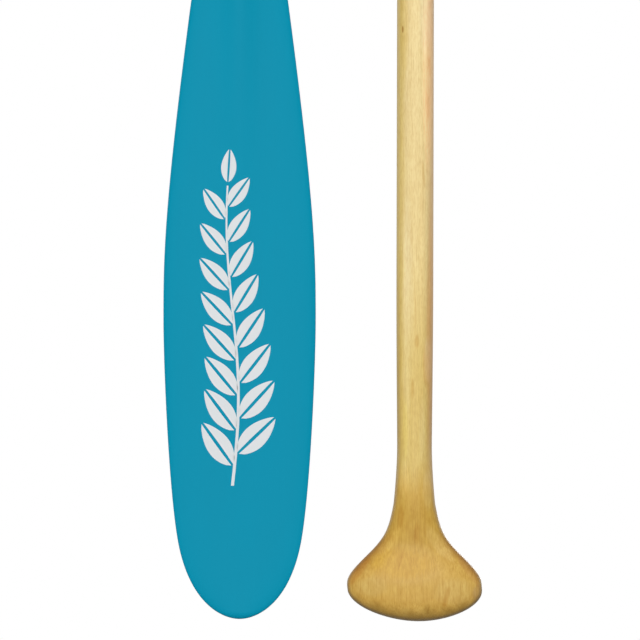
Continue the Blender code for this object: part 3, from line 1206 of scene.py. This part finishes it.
def flat_grid(bench, columns, rows):
    """A grid of unit size, and the places of its points across and up, both from -0.5 to 0.5."""
    grid = bench.node("GeometryNodeMeshGrid", None,
                      {"Vertices X": columns, "Vertices Y": rows}, "Mesh")
    u, v, _ = bench.parts(bench.node("GeometryNodeInputPosition"))
    return grid, u, v


def half_leaf(bench):
    """One half leaf, 1 long and 0.5 broad, with its midrib on the Z axis."""
    grid, u, v = flat_grid(bench, *LEAF_GRID)
    along = v + 0.5
    belly = (along ** BELLY_PLACE * math.pi).math("SINE").math("MAXIMUM", 0.0) ** BELLY_FULLNESS
    across = MIDRIB_SLIT + (u + 0.5) * belly * (0.5 - MIDRIB_SLIT)
    arch = (along - 1) * along * -LEAF_ARCH
    return moved(bench, grid, bench.vector(across + arch, 0.0, along))


def stem_strip(bench, given):
    """A strip along the swaying stem, which thins towards its end."""
    grid, u, v = flat_grid(bench, *STEM_GRID)
    share = v + 0.5
    sway = (share * (math.tau * STEM_TURNS)).math("SINE") * given["Sway"] + given["Stem x"]
    breadth = STEM_THICK - share * (STEM_THICK - STEM_THIN)
    z = given["Stem low"] + share * (given["Stem high"] - given["Stem low"])
    return moved(bench, grid, bench.vector(sway + u * breadth, 0.0, z))


def joined(bench, first, second):
    """Both geometries as one. A join has one socket, which takes several links."""
    both = bench.node("GeometryNodeJoinGeometry", None, [first])
    bench.tree.links.new(second.socket, both.socket.node.inputs[0])
    return both


def fill_sprig_tree():
    bench, given = open_tree(sprig_tree, [
        ("Guide", "Geometry"), ("Stem x", "Float"), ("Sway", "Float"), ("Stem low", "Float"),
        ("Stem high", "Float"), ("Blade", "Collection"), ("Finish", "Material"),
    ])

    turned = bench.node("FunctionNodeEulerToRotation", None, [carried(bench, "turn")])
    leaves = bench.node("GeometryNodeInstanceOnPoints", None, {
        "Points": given["Guide"], "Instance": half_leaf(bench), "Rotation": turned,
        "Scale": carried(bench, "size")})
    flat = made_real(bench, joined(bench, leaves, stem_strip(bench, given)))

    blade = bench.node("GeometryNodeCollectionInfo", {"transform_space": "ORIGINAL"},
                       {"Collection": given["Blade"]})
    x, _, z = bench.parts(bench.node("GeometryNodeInputPosition"))
    hit = bench.node("GeometryNodeRaycast", None, {
        "Target Geometry": made_real(bench, blade),
        "Source Position": bench.vector(x, RAY_START, z),
        "Ray Direction": (0.0, 1.0, 0.0), "Ray Length": RAY_LENGTH}, "Hit Position")
    _, y, _ = bench.parts(hit)
    laid = moved(bench, flat, bench.vector(x, y + FILM_SUNK, z))

    _, facing, _ = bench.parts(bench.node("GeometryNodeInputNormal"))
    inner = bench.node("GeometryNodeFlipFaces", None,
                       {"Mesh": laid, "Selection": facing.math("LESS_THAN", 0.0)})
    outer = bench.node("GeometryNodeFlipFaces", None, {"Mesh": inner})
    raised = bench.node("GeometryNodeExtrudeMesh", None, {
        "Mesh": outer, "Offset": (0.0, -1.0, 0.0), "Offset Scale": FILM_THICKNESS,
        "Individual": False}, "Mesh")
    closed = welded(bench, joined(bench, raised, inner), FILM_WELD)
    close_tree(bench, closed, given["Finish"])


fill_sprig_tree()
print("stencilled_sprig has", len(sprig_tree.nodes), "nodes")

# %% Stencil the sprig
OFF_WHITE = (0.81, 0.84, 0.855)
sprig = new_guide("blade_sprig", [(leaf.x, 0.0, leaf.z) for leaf in half_leaves])
carry(sprig.data, "turn", [(0.0, leaf.turn, 0.0) for leaf in half_leaves])
carry(sprig.data, "size", [(leaf.breadth, 1.0, leaf.length) for leaf in half_leaves])

blade_skin = bpy.data.collections.new("blade_skin")
for piece, node in STAND_INS.items():
    if not node.startswith("grip"):
        blade_skin.objects.link(piece)

grow(sprig, sprig_tree, {
    "Stem x": STEM_X, "Sway": STEM_SWAY, "Stem low": STEM_LOW_Z, "Stem high": STEM_HIGH_Z,
    "Blade": blade_skin, "Finish": painted("off_white_stencil_paint", OFF_WHITE)})
bpy.data.collections.remove(blade_skin)
if volume_of(sprig.data) < 0:
    sprig.data.flip_normals()
print(f"{len(sprig.data.polygons)} faces, {1e9 * volume_of(sprig.data):.0f} mm3 of paint")

# %% [markdown]
# ## Join the planks to the frame
#
# Every piece rides on the paddle's one body. A plank also hides the plain solid that it stands for.
# The sprig stands for none.

for piece, node in STAND_INS.items():
    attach(piece, "root")
    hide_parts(node)
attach(sprig, "root")

# %% [markdown]
# ## Camera
#
# The paddle is shown flat and straight on, without any perspective that the eye would notice.
# An orthographic camera would do that too, but a very long lens from 20 m away does it as well and
# still fits the paddle into the frame when the view is turned. The frame is 640 pixels square and
# a pixel is 0.84 mm on the paddle. The blade's axis lies left of the middle.

# %% Set up the camera
FRAME_PIXELS = 640
PIXEL = 0.00084
CAMERA_DISTANCE = 20.0
FARTHEST_SEEN = 200.0
SENSOR_WIDTH = 36.0
BLADE_AXIS_PIXEL = 239.6
TIP_PIXEL = 619.0

camera_x = (FRAME_PIXELS / 2 - BLADE_AXIS_PIXEL) * PIXEL
camera_z = TIP_Z + (TIP_PIXEL - FRAME_PIXELS / 2) * PIXEL
lens_data = bpy.data.cameras.new("long_lens")
lens_data.sensor_width = SENSOR_WIDTH
lens_data.lens = SENSOR_WIDTH * CAMERA_DISTANCE / (FRAME_PIXELS * PIXEL)
lens_data.clip_end = FARTHEST_SEEN
camera = placed("long_lens", lens_data)
camera.location = (camera_x, -CAMERA_DISTANCE, camera_z)
camera.rotation_euler = (math.radians(90), 0.0, 0.0)
bpy.context.scene.camera = camera
print(f"lens {lens_data.lens:.0f} mm at {CAMERA_DISTANCE:.0f} m")

# %% [markdown]
# ## The grip's end in the same picture
#
# At this scale a frame holds little more than a third of the paddle. The picture shows both ends
# of it side by side: the blade on the left, and on the right the shaft and grip, also end down.
# So the same meshes are shown a second time, turned end for end: they are scenery and no part of
# the object. They stand far behind it and are enlarged by just as much as the distance shrinks
# them. From any other side they are out of sight.
#
# Bump is measured in metres, so the enlarged pieces need copies of the finishes with a bump that
# is enlarged as well.

# %% Show the paddle again, end for end
SECOND_DISTANCE = 80.0
SECOND_AXIS_PIXEL = 414.1
SECOND_CROWN_PIXEL = 621.3
SECOND_TILT = math.radians(0.13)


def enlarged_finish(material, scale):
    copy = material.copy()
    copy.name = material.name + "_enlarged"
    for node in copy.node_tree.nodes:
        if node.bl_idname == "ShaderNodeBump":
            node.inputs["Distance"].default_value *= scale
    return copy


def show_again(pieces, scale):
    """Stage copies of the pieces, turned end for end about the line of sight of the camera."""
    x = camera_x + (SECOND_AXIS_PIXEL - FRAME_PIXELS / 2) * PIXEL * scale
    crown_z = camera_z - (SECOND_CROWN_PIXEL - FRAME_PIXELS / 2) * PIXEL * scale
    place = Matrix.Translation((x, SECOND_DISTANCE - CAMERA_DISTANCE, crown_z))
    turn = Matrix.Rotation(SECOND_TILT, 4, "Y") @ Matrix.Rotation(math.pi, 4, "Y")
    crown_to_origin = Matrix.Translation((0.0, 0.0, -CROWN_Z))
    finishes = {material: enlarged_finish(material, scale)
                for material in dict.fromkeys(piece.active_material for piece in pieces)}
    for piece in pieces:
        again = piece.copy()
        again.name = piece.name + "_again"
        for key in list(again.keys()):
            del again[key]
        bpy.context.scene.collection.objects.link(again)
        again.parent = None
        again.matrix_world = place @ turn @ Matrix.Scale(scale, 4) @ crown_to_origin
        again.material_slots[0].link = "OBJECT"
        again.material_slots[0].material = finishes[piece.active_material]


show_again(list(STAND_INS), SECOND_DISTANCE / CAMERA_DISTANCE)
print("second showing stands", SECOND_DISTANCE - CAMERA_DISTANCE, "m behind the paddle")

# %% [markdown]
# ## Light
#
# Plain soft studio light: broad suns from the front, the back and the sides, and an even glow
# from all round. Their levels are chosen so that a surface that faces the camera renders about as
# its colour is written. Suns are used because they light every distance alike. The world is white
# to the camera and in reflections.

# %% Lamps and world
WHITE = (1.0, 1.0, 1.0)
AMBIENT = 0.18
LAMPS = [  # name, direction it shines from, level, softness in degrees
    ("key", (-0.05, -1.0, 0.40), 0.68, 30),
    ("front_fill", (0.10, -1.0, -0.10), 0.12, 40),
    ("back", (0.20, 1.0, 0.40), 0.60, 35),
    ("right_side", (1.0, 0.9, 0.30), 0.16, 30),
    ("left_side", (-1.0, 0.9, 0.30), 0.16, 30),
]


def add_sun(name, direction, level, softness):
    sun = bpy.data.lights.new(name, "SUN")
    sun.energy = level * math.pi
    sun.angle = math.radians(softness)
    placed(name, sun).rotation_euler = Vector(direction).to_track_quat("Z", "Y").to_euler()


for lamp in LAMPS:
    add_sun(*lamp)

world = bpy.data.worlds.new("studio")
bpy.context.scene.world = world
world.use_nodes = True
world.node_tree.nodes.clear()
studio = Bench(world.node_tree)


def seen_directly(bench):
    """1 for rays from the camera, and for mirror and glass rays."""
    def ray(name):
        return bench.node("ShaderNodeLightPath", give=name)
    return ray("Is Camera Ray").math("MAXIMUM", ray("Is Glossy Ray")).math(
        "MAXIMUM", ray("Is Transmission Ray"))


glow = studio.node("ShaderNodeBackground", None, {"Color": WHITE, "Strength": AMBIENT})
backdrop = studio.node("ShaderNodeBackground", None, {"Color": WHITE, "Strength": 1.0})
studio.node("ShaderNodeOutputWorld", None,
            {"Surface": blended(studio, seen_directly(studio), glow, backdrop)})
bpy.context.scene.view_settings.view_transform = "Standard"
print(len(LAMPS), "suns and a glow of", AMBIENT)

# %% [markdown]
# ## Floor
#
# The paddle hangs with its tip a hand's width above a pale floor, which catches its shadow. The
# floor is a disc that turns to pure white towards its rim, so that it has no visible edge. A share
# of white lies over the whole disc, which keeps the floor pale and its shadow soft. To the light
# that it throws back it is a darker grey, about as bright as the glow around it, so the blade
# isn't lit from below more than from above.

# %% Lay the floor
FLOOR_DROP = 0.10
FLOOR_RADIUS = 5.0
FLOOR_SIDES = 96
FLOOR_COLOUR = (0.92, 0.92, 0.92)
FLOOR_LIFT = 0.35
WHITENS = (0.35 * FLOOR_RADIUS, 0.9 * FLOOR_RADIUS)
BOUNCE_COLOUR = (0.32, 0.32, 0.32)


def floor_finish():
    material, bench = new_finish("pale_floor")
    x, y, _ = object_place(bench)
    radius = (x * x + y * y).math("SQRT")
    pale = bench.node("ShaderNodeBsdfDiffuse", None, {"Color": FLOOR_COLOUR})
    bounce = bench.node("ShaderNodeBsdfDiffuse", None, {"Color": BOUNCE_COLOUR})
    white = bench.node("ShaderNodeEmission", None, {"Color": WHITE, "Strength": 1.0})
    whiter = radius.step(*WHITENS) * (1 - FLOOR_LIFT) + FLOOR_LIFT
    shown = blended(bench, whiter, pale, white)
    close_finish(bench, blended(bench, seen_directly(bench), bounce, shown))
    return material


floor_shape = bmesh.new()
bmesh.ops.create_circle(floor_shape, cap_ends=True, segments=FLOOR_SIDES, radius=FLOOR_RADIUS)
floor_mesh = bpy.data.meshes.new("floor")
floor_shape.to_mesh(floor_mesh)
floor_shape.free()
floor_mesh.materials.append(floor_finish())
floor = placed("floor", floor_mesh)
floor.location.z = TIP_Z - FLOOR_DROP
print("floor", 2 * FLOOR_RADIUS, "m across")

# %% [markdown]
# ## Finish
#
# The dressed paddle has to keep the frame's size. This last step only brings the scene up to date.

# %% Bring the scene up to date
bpy.context.view_layer.update()
